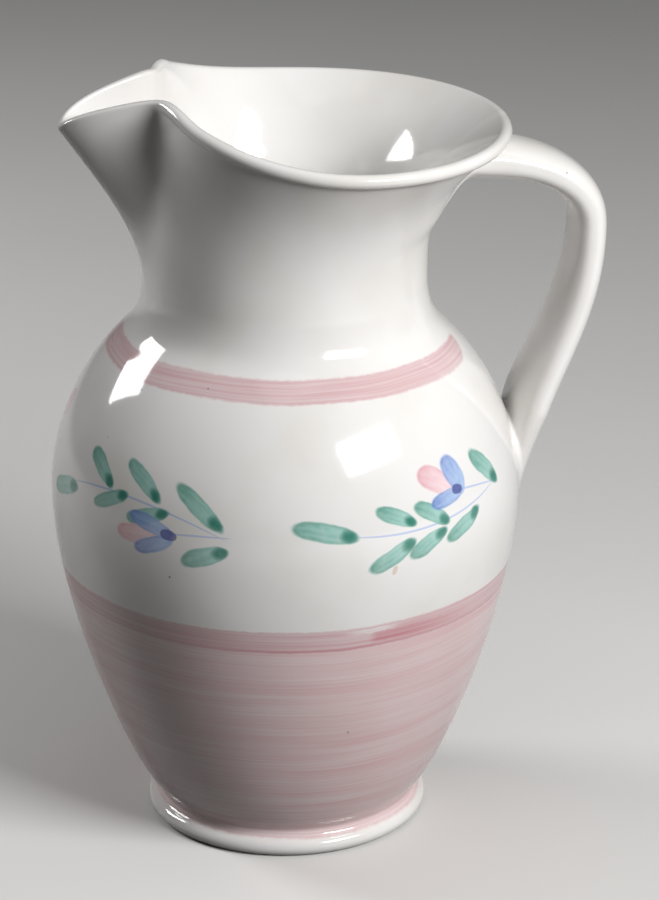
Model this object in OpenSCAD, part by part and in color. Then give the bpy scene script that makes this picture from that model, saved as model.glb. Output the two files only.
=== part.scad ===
// Glazed earthenware pouring jug: a thrown belly on a turned foot, a collar with a pulled spout,
// and a strap handle luted on at its head and tail. The jug stands on Z = 0 with its axis on Z,
// the handle points to +X and the spout to -X.

/* [Foot] */
// Height of the foot ring
foot_h = 8; // [6:0.5:11]
// Distance that the foot ring stands out from the wall above it
foot_lip = 5.2; // [4:0.1:8]
// Radius of the foot ring's rounded edge
foot_roll = 3.4; // [2.5:0.1:3.8]
// Distance that the foot ring reaches in under the floor
foot_ledge = 2.5; // [1.5:0.5:8]
// Bevel on the inner edge of the foot ring
foot_bevel = 1.5; // [0.5:0.5:2.5]

/* [Belly] */
// Thickness of the clay wall
wall = 5; // [3.5:0.5:6.5]
// Thickness of the floor
floor_t = 6; // [4:0.5:9]
// Outer radius where the wall stands on the foot
waist_r = 46.5; // [40:0.5:54]
// Outward sweep of the wall as it leaves the foot
waist_sweep = 14.5; // [10:0.5:18]
// Rise of the wall over that sweep
waist_rise = 14; // [10:1:18]
// Outer radius at the widest part
belly_r = 85; // [74:1:100]
// Height from the foot ring to the widest part
belly_h = 119; // [100:1:140]
// Fullness of the lower belly
lower_pull = 37; // [28:1:46]
// Fullness of the upper belly
upper_pull = 23; // [16:1:30]
// Height from the widest part to the collar's seam
shoulder_h = 63; // [52:1:76]
// Inward sweep of the shoulder as it reaches the seam
shoulder_sweep = 18.5; // [14:0.5:24]
// Rise of the shoulder over that sweep
shoulder_rise = 15; // [10:1:20]

/* [Neck] */
// Outer radius at the collar's seam
seam_r = 55; // [48:0.5:62]
// Height from the seam to the narrowest part of the neck
throat_h = 16; // [12:1:24]
// Outer radius of the narrowest part of the neck
throat_r = 51; // [44:0.5:58]
// Height from the narrowest part to the rim on the handle side
flare_h = 57; // [46:1:68]
// Outer radius of the rim on the handle side
rim_r = 81; // [72:0.5:92]
// Curl of the flare, from straight to trumpet shaped
rim_curl = 0.8; // [0.5:0.05:1.4]

/* [Spout] */
// Depth that the sides of the mouth are pinched in
pinch = 32; // [20:0.5:36]
// Angle over which the pinch fades towards the handle
pinch_spread = 82; // [70:1:92]
// Length that the beak is pulled out of the pinched mouth
beak = 31; // [20:0.5:38]
// Half angle of the beak
beak_spread = 13.5; // [11:0.5:18]
// Curl of the flare along the beak
beak_curl = 1.8; // [1.4:0.05:2]
// Thickness of the lip at the beak
beak_wall = 3.4; // [2.6:0.1:5]
// Rise of the rim towards the two crests beside the beak
crest_rise = 19; // [8:0.5:24]
// Angle over which that rise fades towards the handle
crest_spread = 66; // [54:1:76]
// Drop of the lip from the crests to the tip
tip_dip = 15.5; // [6:0.5:20]
// Half angle of that drop
dip_spread = 12; // [10:0.5:16]

/* [Handle] */
// Distance from the widest part of the belly out to the middle of the strap
handle_gap = 25; // [18:1:34]
// Width of the strap at its furthest reach
strap_w = 30; // [24:1:38]
// Width of the strap above its tail
strap_low_w = 42; // [28:1:46]
// Thickness of the strap
strap_t = 12.5; // [9:0.5:14]
// Depth of the strap's middle below the rim where it leaves the neck
head_drop = 13.5; // [12:0.5:18]
// Straight run of the strap out of the neck
head_run = 33; // [28:1:44]
// Depth of the handle's furthest reach below the rim
bow_drop = 41; // [34:1:48]
// Fullness of the handle above its furthest reach
bow_up = 22; // [16:1:26]
// Fullness of the handle below its furthest reach
bow_down = 42; // [34:1:48]
// Depth of the tail's lower end below the widest part of the belly
tail_drop = 11; // [5:1:16]
// Rise of the strap out of the tail
tail_rise = 47; // [40:1:54]
// Lean of the strap out of the tail
tail_lean = 1; // [0:0.5:4]
// Width of the tail's lower end
tail_w = 26; // [14:1:32]
// Thickness of the tail's lower end
tail_t = 5; // [4:0.5:7]
// Extra width of the luted head where it meets the collar
head_flare = 14; // [4:1:18]
// Depth of the clay web under the luted head
head_web = 20; // [10:1:26]

/* [Hidden] */
$fn = 180;
glaze = "#efece6";
rose = "#d9a9ad";

// Heights, from the foot up, and radii at the middle of the wall
belly_z = foot_h + belly_h;
seam_z = belly_z + shoulder_h;
throat_z = seam_z + throat_h;
rim_z = throat_z + flare_h;
floor_z = foot_h + floor_t;
half = wall / 2;
seam_mid = seam_r - half;
throat_mid = throat_r - half;
rim_mid = rim_r - half;
lip_base = rim_z - half;

// Cubic curves, each a list of its two ends and the two pulls between them
function unit(v) = v / norm(v);
function on(curve, t) = curve[0] * pow(1 - t, 3) + 3 * curve[1] * t * pow(1 - t, 2)
    + 3 * curve[2] * t * t * (1 - t) + curve[3] * pow(t, 3);
function along(curve, t) = unit((curve[1] - curve[0]) * pow(1 - t, 2)
    + 2 * (curve[2] - curve[1]) * t * (1 - t) + (curve[3] - curve[2]) * t * t);

// Belly profile, as [radius, height]
waist = [waist_r, foot_h];
widest = [belly_r, belly_z];
seam = [seam_r, seam_z];
lower = [waist, waist + [waist_sweep, waist_rise], widest - [0, lower_pull], widest];
upper = [widest, widest + [0, upper_pull], seam + [shoulder_sweep, -shoulder_rise], seam];
belly_steps = 20;
function inside(curve, t) = on(curve, t) + wall * [-along(curve, t)[1], along(curve, t)[0]];
belly_out = concat(
    [for (i = [0 : belly_steps - 1]) on(lower, i / belly_steps)],
    [for (i = [0 : belly_steps]) on(upper, i / belly_steps)]
);
belly_offset = concat(
    [for (i = [0 : belly_steps - 1]) inside(lower, i / belly_steps)],
    [for (i = [0 : belly_steps]) inside(upper, i / belly_steps)]
);
// The inner face starts square on the foot ring and ends square under the collar
belly_in = concat(
    [[waist_r - wall, foot_h]],
    [for (p = belly_offset) if (p[1] > foot_h + wall && p[1] < seam_z - wall) p],
    [[seam_r - wall, seam_z]]
);
function by_height(profile) = [for (p = profile) [p[1], p[0]]];
belly_out_by_height = by_height(belly_out);
belly_in_by_height = by_height(belly_in);

// Mouth: the middle of the shell at the angle a from the beak, from the seam (v = 0) over the
// throat (v = 1) to the lip (v = 2). Bell curves pinch the sides, pull the beak and lift the crests
pinch_power = 2.3;
beak_power = 2;
crest_power = 3;
dip_power = 1.3;
function bell(a, spread, power) = exp(-pow(abs(a) / spread, power));
function beak_part(a) = bell(a, 2 * beak_spread, beak_power);
function lip_r(a) = rim_mid - pinch * bell(a, pinch_spread, pinch_power)
    + beak * bell(a, beak_spread, beak_power);
function lip_z(a) = lip_base + crest_rise * bell(a, crest_spread, crest_power)
    - tip_dip * bell(a, dip_spread, dip_power);
function curl(a) = rim_curl + (beak_curl - rim_curl) * beak_part(a);
function flare(a, t) = t * t * (curl(a) - (curl(a) - 1) * t);
function mid_r(a, v) = v < 1
    ? throat_mid + (seam_mid - throat_mid) * pow(1 - v, 2)
    : throat_mid + (lip_r(a) - throat_mid) * flare(a, v - 1);
function mid_z(a, v) = v < 1
    ? seam_z + throat_h * v
    : throat_z + (lip_z(a) - throat_z) * (v - 1);
function mid(a, v) = [-mid_r(a, v) * cos(a), -mid_r(a, v) * sin(a), mid_z(a, v)];
function half_at(a, v) = half + (beak_wall - wall) / 2 * beak_part(a) * max(0, v - 1);

// Normal of the shell by small differences, level at the seam so that the collar sits flat on it
angle_nudge = 0.05;
rise_nudge = 0.001;
function rise(a, v) = mid(a, min(v + rise_nudge, 2)) - mid(a, max(v - rise_nudge, 0));
function outward(a, v) = v == 0
    ? [-cos(a), -sin(a), 0]
    : unit(cross(mid(a + angle_nudge, v) - mid(a - angle_nudge, v), rise(a, v)));
function face(a, v, side) = mid(a, v) + side * half_at(a, v) * outward(a, v);
function lip_point(a, turn) = mid(a, 2)
    + half_at(a, 2) * (outward(a, 2) * cos(turn) + unit(rise(a, 2)) * sin(turn));

// One upright section of the mouth: up the outside, over the rounded lip and down the inside
ring_rows = 4;
flare_rows = 14;
lip_rows = 6;
rows = ring_rows + flare_rows;
section_size = 2 * rows + 1 + lip_rows;
function row_v(j) = j <= ring_rows ? j / ring_rows : 1 + (j - ring_rows) / flare_rows;
function mouth_section(a) = concat(
    [for (j = [0 : rows]) face(a, row_v(j), 1)],
    [for (k = [1 : lip_rows - 1]) lip_point(a, 180 * k / lip_rows)],
    [for (j = [rows : -1 : 0]) face(a, row_v(j), -1)]
);

// Sections crowd together near the beak. The spout takes spout_half of them on each side of it
half_turn = 54;
spout_half = 22;
crowding = 1.6;
columns = 2 * half_turn;
spout_from = half_turn - spout_half;
spout_to = half_turn + spout_half;
function column_angle(i) =
    180 * sign(i - half_turn) * pow(abs(i - half_turn) / half_turn, crowding);
mouth_points = [for (i = [0 : columns - 1]) each mouth_section(column_angle(i))];

function at(i, k) = (i % columns) * section_size + k % section_size;
function opposite(j) = section_size - 1 - j;
function quad(a, b, c, d) = [[a, b, c], [a, c, d]];
function flip(faces) = [for (f = faces) [f[2], f[1], f[0]]];
function skin(i, k) = quad(at(i, k), at(i, k + 1), at(i + 1, k + 1), at(i + 1, k));
// Level step at the throat under the spout, and upright edge of the shell beside it
function step(i) = quad(
    at(i, ring_rows), at(i, opposite(ring_rows)),
    at(i + 1, opposite(ring_rows)), at(i + 1, ring_rows)
);
function edge(i) = [for (j = [ring_rows : rows + lip_rows / 2 - 1])
    each quad(at(i, j), at(i, j + 1), at(i, opposite(j + 1)), at(i, opposite(j)))];
function in_spout(i) = i >= spout_from && i < spout_to;
function in_ring(k) = k < ring_rows || k >= opposite(ring_rows);

steps = [for (i = [spout_from : spout_to - 1]) each step(i)];
edges = concat(edge(spout_from), flip(edge(spout_to)));
collar_skin = [for (i = [0 : columns - 1]) for (k = [0 : section_size - 1])
    if (in_ring(k) || !in_spout(i)) each skin(i, k)];
spout_skin = [for (i = [spout_from : spout_to - 1]) for (k = [0 : section_size - 1])
    if (!in_ring(k)) each skin(i, k)];

// Handle path in the XZ plane, from inside the neck (u = 0) over the bow (u = 1) to the tail (u = 2)
head = [throat_r - wall, rim_z - head_drop];
bow = [belly_r + handle_gap, rim_z - bow_drop];
tail_z = belly_z - tail_drop;
tail = [lookup(tail_z, belly_out_by_height) - tail_t / 2, tail_z];
top_curve = [head, head + [head_run, 0], bow + [0, bow_up], bow];
low_curve = [bow, bow - [0, bow_down], tail + [tail_lean, tail_rise], tail];
function path(u) = u <= 1 ? on(top_curve, u) : on(low_curve, u - 1);
function heading(u) = u <= 1 ? along(top_curve, u) : along(low_curve, u - 1);

// The head is luted as far out as the rim, and the tail from where the strap nears the belly
tail_clear = 4;
search_steps = 30;
function under_rim(u) = path(u)[0] < rim_r;
function off_belly(u) = path(u)[0] - strap_t / 2 - lookup(path(u)[1], belly_out_by_height) > tail_clear;
function head_search(a, b, n) = let (m = (a + b) / 2)
    n == 0 ? a : under_rim(m) ? head_search(m, b, n - 1) : head_search(a, m, n - 1);
function tail_search(a, b, n) = let (m = (a + b) / 2)
    n == 0 ? a : off_belly(m) ? tail_search(m, b, n - 1) : tail_search(a, m, n - 1);
head_end = head_search(0, 1, search_steps);
tail_start = tail_search(1, 2, search_steps);

// Section of the strap: an oval with flattened faces, deeper and wider at the head, thin at the tail
strap_sides = 28;
strap_square = 2.2;
head_power = 3;
tail_power = 1.5;
function head_part(u) = pow(max(0, 1 - u / head_end), head_power);
function tail_part(u) = pow(max(0, (u - tail_start) / (2 - tail_start)), tail_power);
function low_part(u) = min(1, max(0, (u - 1) / (tail_start - 1)));
function web(u) = head_web * head_part(u);
function run_w(u) = strap_w + (strap_low_w - strap_w) * low_part(u);
function width(u) = run_w(u) + head_flare * head_part(u) + (tail_w - run_w(u)) * tail_part(u);
function thickness(u) = strap_t + web(u) + (tail_t - strap_t) * tail_part(u);
function squarish(c) = sign(c) * pow(abs(c), 2 / strap_square);
function strap_point(u, depth, across) =
    [path(u)[0] + heading(u)[1] * depth, across, path(u)[1] - heading(u)[0] * depth];
function strap_section(u) = [for (k = [0 : strap_sides - 1])
    let (
        turn = 360 * k / strap_sides,
        depth = (thickness(u) * squarish(cos(turn)) + web(u)) / 2,
        across = width(u) * squarish(sin(turn)) / 2
    )
    strap_point(u, depth, across)
];

// Closed solid through a list of rings with equal numbers of points
module loft(rings) {
    n = len(rings[0]);
    last = (len(rings) - 1) * n;
    sides = [for (i = [0 : len(rings) - 2]) for (k = [0 : n - 1])
        each quad(i * n + (k + 1) % n, i * n + k, (i + 1) * n + k, (i + 1) * n + (k + 1) % n)];
    start_cap = [for (k = [1 : n - 2]) [0, k, k + 1]];
    end_cap = [for (k = [1 : n - 2]) [last, last + k + 1, last + k]];
    polyhedron(points = [for (r = rings) each r], faces = concat(sides, start_cap, end_cap));
}

module strap(from, to, count) {
    loft([for (i = [0 : count]) strap_section(from + (to - from) * i / count)]);
}

// Solid behind the collar's outer face on the handle side, in to half the throat
module collar_core() {
    core_columns = 10;
    top = rows + lip_rows / 2;
    loft([for (i = [columns - core_columns : columns + core_columns])
        let (
            a = column_angle(i % columns),
            section = mouth_section(a),
            x = -throat_r / 2 * cos(a),
            y = -throat_r / 2 * sin(a)
        )
        concat(
            [[x, y, section[0][2]], [x, y, section[top][2]]],
            [for (j = [top : -1 : 0]) section[j]]
        )
    ]);
}

module belly_core() {
    rotate_extrude() polygon(concat([[0, foot_h]], belly_out, [[0, seam_z]]));
}

module foot_ring() {
    inner_r = waist_r - wall - foot_ledge;
    roll = [waist_r + foot_lip - foot_roll, foot_roll];
    brow = roll + foot_roll * [cos(45), sin(45)];
    color(glaze) rotate_extrude() union() {
        polygon([
            [inner_r, foot_bevel],
            [inner_r + foot_bevel, 0],
            [roll[0], 0],
            brow,
            waist,
            [inner_r, foot_h]
        ]);
        translate(roll) circle(foot_roll);
    }
}

module base_disc() {
    edge_r = lookup(floor_z, belly_in_by_height);
    below = [for (p = belly_in) if (p[1] < floor_z) p];
    color(glaze) rotate_extrude() polygon(concat([[0, foot_h]], below, [[edge_r, floor_z], [0, floor_z]]));
}

module belly_wall() {
    down = [for (i = [len(belly_in) - 1 : -1 : 0]) belly_in[i]];
    color(rose) rotate_extrude() polygon(concat(belly_out, down));
}

module neck_collar() {
    color(glaze) polyhedron(points = mouth_points, faces = concat(collar_skin, steps, edges));
}

module spout() {
    color(glaze) polyhedron(points = mouth_points, faces = concat(spout_skin, flip(steps), flip(edges)));
}

module handle() {
    color(glaze) strap(head_end, tail_start, 40);
}

module head_lute() {
    color(glaze) difference() {
        strap(0, head_end, 8);
        collar_core();
    }
}

module tail_lute() {
    color(glaze) difference() {
        strap(tail_start, 2, 12);
        belly_core();
    }
}

foot_ring();
base_disc();
belly_wall();
neck_collar();
spout();
handle();
head_lute();
tail_lute();
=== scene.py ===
import math

import bpy
import numpy as np
from mathutils import Euler, Matrix


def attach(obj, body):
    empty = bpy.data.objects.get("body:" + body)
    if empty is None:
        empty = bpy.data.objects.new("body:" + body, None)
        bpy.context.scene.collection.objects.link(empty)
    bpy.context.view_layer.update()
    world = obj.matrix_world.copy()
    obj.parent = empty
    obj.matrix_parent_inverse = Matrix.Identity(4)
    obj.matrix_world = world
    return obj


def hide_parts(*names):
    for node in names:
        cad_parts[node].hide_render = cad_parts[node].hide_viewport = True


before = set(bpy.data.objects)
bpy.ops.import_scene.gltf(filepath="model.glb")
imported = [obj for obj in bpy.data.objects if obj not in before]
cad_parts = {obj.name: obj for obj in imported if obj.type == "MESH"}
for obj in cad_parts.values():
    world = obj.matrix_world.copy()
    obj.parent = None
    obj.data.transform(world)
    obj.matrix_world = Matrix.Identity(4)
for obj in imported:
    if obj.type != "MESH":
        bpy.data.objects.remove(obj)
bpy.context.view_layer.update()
print("solids loaded")

# Lengths are millimetres and angles degrees up to makePiece, which writes metres


def unit(vectors):  # each vector divided by its own length
    return vectors / np.maximum(np.linalg.norm(vectors, axis=-1, keepdims=True), 1e-9)


def cubic(curve, t):  # ends and pulls weighted by (1-t)^3, 3t(1-t)^2, 3t^2(1-t) and t^3
    a, b, c, d = np.array(curve, float)
    t = np.asarray(t, float)[..., None]
    return a * (1 - t) ** 3 + 3 * b * t * (1 - t) ** 2 + 3 * c * t ** 2 * (1 - t) + d * t ** 3


def cubicRun(curve, t):  # direction of travel along that curve, from its derivative
    a, b, c, d = np.array(curve, float)
    t = np.asarray(t, float)[..., None]
    return unit((b - a) * (1 - t) ** 2 + 2 * (c - b) * t * (1 - t) + (d - c) * t ** 2)


def smoothStep(x, low, high):  # 3q^2 - 2q^3 of the share q that x has gone from low to high
    q = np.clip((x - low) / (high - low), 0, 1)
    return q * q * (3 - 2 * q)


def bell(a, spread, power):  # e to the power of -(|a| / spread)^power
    return np.exp(-(np.abs(a) / spread) ** power)


def slope(points, axis, loop):
    # Direction of a grid line: the steps before and after a point, each weighted by the other's length
    p = np.moveaxis(points, axis, 0)
    step = np.roll(p, -1, 0) - p
    size = np.maximum(np.linalg.norm(step, axis=-1, keepdims=True), 1e-9)
    way = step / size
    back, backSize = np.roll(way, 1, 0), np.roll(size, 1, 0)
    run = (way * backSize + back * size) / (size + backSize)
    if not loop:
        run[0], run[-1] = way[0], way[-2]
    return np.moveaxis(run, 0, axis)


def lineLength(line):  # running length along a line of points
    return np.concatenate([[0], np.cumsum(np.linalg.norm(np.diff(line, axis=0), axis=1))])


def pointAt(line, s):  # point at the length s along a line
    length = lineLength(line)
    return np.stack([np.interp(s, length, line[:, 0]), np.interp(s, length, line[:, 1])], -1)


corner = {"points": 15, "pull": 0.42, "apart": 0.05, "look": 0.3}


def roundCorner(first, second, reach):
    # Both lines give up their reach next to the corner, and a cubic curve that leaves and meets them in
    # their own directions takes its place. Returns the whole line and the row of the corner's middle
    length, count = lineLength(first), corner["points"]
    end = length[-1] - reach
    head = np.concatenate([first[length < end - corner["apart"]], pointAt(first, [end])])
    rest = second[lineLength(second) > reach + corner["apart"]]
    tail = np.concatenate([pointAt(second, [reach]), rest])
    leave = unit(head[-1] - pointAt(first, end - corner["look"]))
    meet = unit(pointAt(second, reach + corner["look"]) - tail[0])
    pull = corner["pull"] * np.linalg.norm(tail[0] - head[-1])
    curve = [head[-1], head[-1] + leave * pull, tail[0] - meet * pull, tail[0]]
    bend = cubic(curve, np.linspace(0, 1, count))
    return np.concatenate([head, bend[1:-1], tail]), len(head) - 1 + count // 2


# Shader maths: a Value holds one socket, and operators on it add Math nodes
class Value:
    def __init__(self, mix, socket):
        self.mix = mix
        self.socket = socket

    def maths(self, operation, *others):
        inputs = dict(enumerate((self,) + others))
        return self.mix.node("ShaderNodeMath", {"operation": operation}, inputs)

    def __add__(self, other):
        return self.maths("ADD", other)

    def __mul__(self, other):
        return self.maths("MULTIPLY", other)

    def __sub__(self, other):
        return self.maths("SUBTRACT", other)

    def __truediv__(self, other):
        return self.maths("DIVIDE", other)

    def __rsub__(self, other):
        return self.mix.node("ShaderNodeMath", {"operation": "SUBTRACT"}, {0: other, 1: self})

    __radd__ = __add__
    __rmul__ = __mul__

    def __abs__(self):
        return self.maths("ABSOLUTE")

    def atMost(self, other):
        return self.maths("MINIMUM", other)

    def atLeast(self, other):
        return self.maths("MAXIMUM", other)

    def above(self, other):
        return self.maths("GREATER_THAN", other)

    def ease(self, low, high):  # 0 at low, 1 at high, with a soft start and end
        settings = {"interpolation_type": "SMOOTHSTEP", "clamp": True}
        return self.mix.node("ShaderNodeMapRange", settings, {0: self, 1: low, 2: high, 3: 0.0, 4: 1.0})

    def within(self, rising, falling):  # 1 between two soft ends
        return self.ease(*rising) * self.ease(*falling)

    def output(self, name):  # another output of the same node
        return Value(self.mix, self.socket.node.outputs[name])


class Mixture:
    def __init__(self, name):
        self.material = bpy.data.materials.new(name)
        self.material.use_nodes = True
        self.tree = self.material.node_tree
        self.shader = self.tree.nodes["Principled BSDF"]

    def node(self, kind, settings=None, inputs=None, out=0):
        made = self.tree.nodes.new(kind)
        for key, value in (settings or {}).items():
            setattr(made, key, value)
        for key, value in (inputs or {}).items():
            self.feed(made.inputs[key], value)
        return Value(self, made.outputs[out])

    def feed(self, socket, value):
        if isinstance(value, Value):
            self.tree.links.new(value.socket, socket)
        else:
            socket.default_value = value

    def blend(self, share, below, above):  # colour above over colour below, by its share
        return self.node("ShaderNodeMix", {"data_type": "RGBA"}, {0: share, 6: below, 7: above}, 2)

    def vector(self, operation, first, second, out=0):
        return self.node("ShaderNodeVectorMath", {"operation": operation}, {0: first, 1: second}, out)

    def point(self, x, y, z):
        return self.node("ShaderNodeCombineXYZ", None, {0: x, 1: y, 2: z})

    def noise(self, place, scale, detail=2.0, out=0):
        inputs = {"Vector": place, "Scale": scale, "Detail": detail}
        return self.node("ShaderNodeTexNoise", None, inputs, out)


def shade(red, green, blue):  # screen colour 0 to 255 as a linear colour
    c = np.array([red, green, blue]) / 255
    linear = np.where(c < 0.04045, c / 12.92, ((c + 0.055) / 1.055) ** 2.4)
    return (*linear.tolist(), 1.0)


glaze = {
    "clean": shade(232, 230, 228),
    "pooled": shade(227, 224, 219),  # where the glaze lies thicker
    "clay": shade(205, 178, 150),  # bare ring that the jug stands on
    "clayEdge": (0.75, 0.45), "clayGrain": 0.5,
    "speck": shade(120, 96, 74),
    "cloudScale": 26.0, "grainScale": 420.0, "waveScale": 24.0,
    "pool": (0.42, 0.72),
    "gloss": 0.055, "glossSpread": 0.09, "glossCloud": (0.3, 0.8), "glossGrain": 0.02,
    "paintGloss": 0.03, "speckGloss": 0.2,
    "ripple": 0.45,  # slow waves of the thrown wall, in millimetres
    "peel": 0.012,  # fine orange peel of the glaze
    "pit": 0.02,  # dent at a speck
    "bend": 1.52,  # how much the glaze bends light
}
# Specks: one point in each cell of about 11 mm, most of them switched off by the cell's own number
specks = {
    "scale": 90.0, "rare": 0.74, "sizes": (0.72, 1.0), "most": 0.03, "edge": (0.012, -0.004), "share": 0.75,
}
paint = {
    "rose": shade(214, 164, 168),
    "roseDeep": shade(196, 128, 138),
    "leaf": shade(150, 200, 190),
    "leafEdge": shade(66, 142, 124),
    "leafPool": shade(30, 118, 100),
    "sky": shade(168, 194, 230),
    "skyEdge": shade(92, 124, 192),
    "blush": shade(238, 212, 216),
    "blushEdge": shade(212, 152, 162),
    "violet": shade(62, 62, 138),
    "stem": shade(166, 186, 226),
    "stemShare": 0.7, "heartShare": 0.75, "spotShare": 0.6,
    "wetLeast": 0.72, "wetGrain": 0.3,
    "shakeScale": 130.0, "shake": 1.6,
}
arc = 1.45  # millimetres for each degree round the belly

# Bands round the belly: heights, soft edges, and how much paint their streaks hold
shoulderBand = {
    "low": 180.2, "high": 187.0, "soft": 0.5, "share": 0.35, "fine": 0.24, "broad": 0.06,
    "tilt": 13.0,  # millimetres that it falls for each metre towards the handle
    "end": (14.0, 17.0), "endHeight": 183.6, "endHalf": 3.4, "endLean": 3.0, "endBow": 2.5,
}
bellyBand = {
    "low": 94.5, "high": 103.2, "soft": 0.5, "share": 0.42, "fine": 0.28, "broad": 0.08,
    "rim": (1.7, 0.5), "rimShare": 0.16,  # darker lower rim, measured up from the low edge
}
wash = {"low": 6.0, "high": bellyBand["low"], "soft": 0.6, "share": 0.36, "fine": 0.28, "broad": 0.2}
footStain = {"low": (6.3, 7.3), "share": 0.3, "fine": 0.2}
streak = {
    "driftScale": 16.0, "drift": 2.2, "grain": 0.8,
    "broadAlong": 0.006, "broadUp": 0.17, "broadTone": (0.32, 0.68),
    "fineAlong": 0.012, "fineUp": 1.5, "fineDrift": 4.0, "fineShift": 5.0, "fineTone": (0.3, 0.72),
}
# Soft ranges of angle and height on the belly band: two brush loads lap, and the brush skips
bandLap = {
    "turn": ((-78.0, -75.0), (-42.0, -72.0)), "height": ((95.8, 96.8), (101.0, 99.6)), "share": 0.3,
}
bandSkip = {
    "turn": ((-86.0, -78.0), (-68.0, -74.0)), "height": ((100.2, 100.8), (102.6, 101.8)), "share": 0.4,
}

# Brush strokes as (angle, height) of the base and of the tip, width and sideways bend
leftLeaves = [
    (-145, 147, -156, 157, 6.2, 0.4), (-139.5, 147, -151.5, 139.5, 5.4, -0.3),
    (-129.5, 146.5, -141.5, 158, 6.0, 0.4), (-113, 140, -126, 154, 6.6, 0.5),
    (-127, 144, -139.5, 139, 5.6, -0.3), (-111.5, 133.5, -123.5, 127.5, 6.8, 0.2),
]
leftEnd = (-159, 141.5, -174, 135, 7.0, 0.3)  # front only
rightLeaves = [
    (-80.5, 137, -97, 142.5, 7.0, 0.4), (-65.5, 138.5, -76.5, 146, 5.6, 0.4),
    (-55.5, 136, -66, 145, 5.8, 0.4), (-66, 133.5, -78.5, 124.5, 6.6, -0.3),
    (-56.5, 134.5, -68, 127.5, 6.2, -0.3), (-44.5, 137, -57, 129.5, 6.0, -0.3),
    (-34.5, 141.5, -44.5, 156, 7.0, 0.5),
]
stems = [
    (-112, 137, -162, 142.5, 0.8, 6.0), (-36, 143, -83, 138, 0.8, -3.6),
    (-111, 138, -128, 136.5, 0.7, 0.4), (-36, 142.5, -53, 146, 0.7, 0.3),
]
skyPetals = [
    (-125.5, 136, -138.5, 141, 5.8, 0.3), (-125.5, 135, -136.5, 129, 6.0, -0.3),
    (-50, 144, -54.5, 158.5, 8.2, 0.6), (-49.5, 146, -61, 143.5, 5.8, -0.3),
]
blushPetals = [(-129, 134.5, -142, 133.5, 7.0, 0.2), (-52.5, 146.5, -63.5, 155.5, 8.2, 0.2)]
hearts = [(-124.5, 136, -129, 136.5, 3.8, 0.0), (-50, 146, -53.5, 146.8, 3.6, 0.0)]
backBud = (-3.8, 155.5, -4.6, 165.5, 8.5, 0.0)  # back only, as its stem is
budStem = (-36, 143, -4, 156.5, 0.8, -2.5)
tanSpot = (-72.2, 121.8, -71.6, 125.0, 1.6, 0.0)  # front only, as the dark spots are
darkSpots = [(-80.2, 58.0, -80.8, 58.4, 1.0, 0.0), (-126.2, 120.6, -126.8, 121.0, 1.0, 0.0)]
brush = {
    "taper": 0.12, "full": 1.02,  # narrower at the base than at the tip
    "blunt": 0.35,  # how square the two ends are
    "edge": (1.18, 0.7),  # watery edge
    "rim": (0.3, 0.95), "rimTone": 0.3, "tip": (-0.45, 1.0), "tipTone": 0.5,
    "hair": (0.3, 0.8), "hairTone": 0.4, "hairAlong": 0.8, "hairAcross": 1.9, "hairApart": 3.0,
    "blotPlace": 0.68, "blotLong": 1.5, "blotEdge": (0.9, 0.0),
}


def stroke(mix, chart, mark):
    # Along and across the stroke each run from -1 to 1. Across is bent into a bow and narrowed at the base.
    # Reach is across^2 plus a mix of along^2 and along^4, and stays under 1 inside the stroke
    angle0, height0, angle1, height1, width, bend = mark
    base, tip = np.array([arc * angle0, height0]), np.array([arc * angle1, height1])
    middle, half = (base + tip) / 2, np.linalg.norm(tip - base) / 2
    way = (tip - base) / (2 * half)
    side = np.array([way[1], -way[0]]) / (width / 2)
    if side[1] < 0:
        side = -side
    way = way / half
    along = mix.vector("DOT_PRODUCT", chart, (*way.tolist(), float(-way @ middle)), 1)
    across = mix.vector("DOT_PRODUCT", chart, (*side.tolist(), float(-side @ middle)), 1)
    square = along * along
    bow = 2 * bend / width
    across = (across - (1 - square) * bow) / (along * brush["taper"] + brush["full"])
    reach = square * square * brush["blunt"] + square * (1 - brush["blunt"]) + across * across
    cover = reach.ease(*brush["edge"])
    return {"along": along, "across": across, "reach": reach, "cover": cover, "long": half / width}


def brushed(mix, chart, *marks):
    return [stroke(mix, chart, mark) for mark in marks]


def strongest(shares):
    best = shares[0]
    for share in shares[1:]:
        best = best.atLeast(share)
    return best


def coverOf(strokes):
    return strongest([made["cover"] for made in strokes])


def toneOf(mix, strokes):  # pigment gathers at the rim, towards the tip and in soft hair lines
    tones = []
    for number, made in enumerate(strokes):
        along, across = made["along"], made["across"]
        apart = brush["hairApart"] * number
        hair = mix.point(along * brush["hairAlong"], across * brush["hairAcross"], apart)
        hair = mix.noise(hair, 1.0, 2.0).ease(*brush["hair"]) * brush["hairTone"]
        rim = made["reach"].ease(*brush["rim"]) * brush["rimTone"]
        tones.append(made["cover"] * (rim + along.ease(*brush["tip"]) * brush["tipTone"] + hair))
    return strongest(tones).atMost(1.0)


def blotOf(strokes):  # a disc near the base, where the brush was set down, measured in half widths
    blots = []
    for made in strokes:
        away = (made["along"] + brush["blotPlace"]) * (brush["blotLong"] * made["long"])
        blot = away * away + made["across"] * made["across"]
        blots.append(made["cover"] * blot.ease(*brush["blotEdge"]))
    return strongest(blots)


def readPlace(mix):  # the point's place in metres, its height in millimetres, and two noises
    place = mix.node("ShaderNodeTexCoord", None, None, "Object")
    x = mix.node("ShaderNodeSeparateXYZ", None, {0: place})
    return {
        "place": place, "x": x, "y": x.output("Y"), "z": x.output("Z") * 1000.0,
        "cloud": mix.noise(place, glaze["cloudScale"], 3.0),
        "grain": mix.noise(place, glaze["grainScale"], 2.0),
    }


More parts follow.
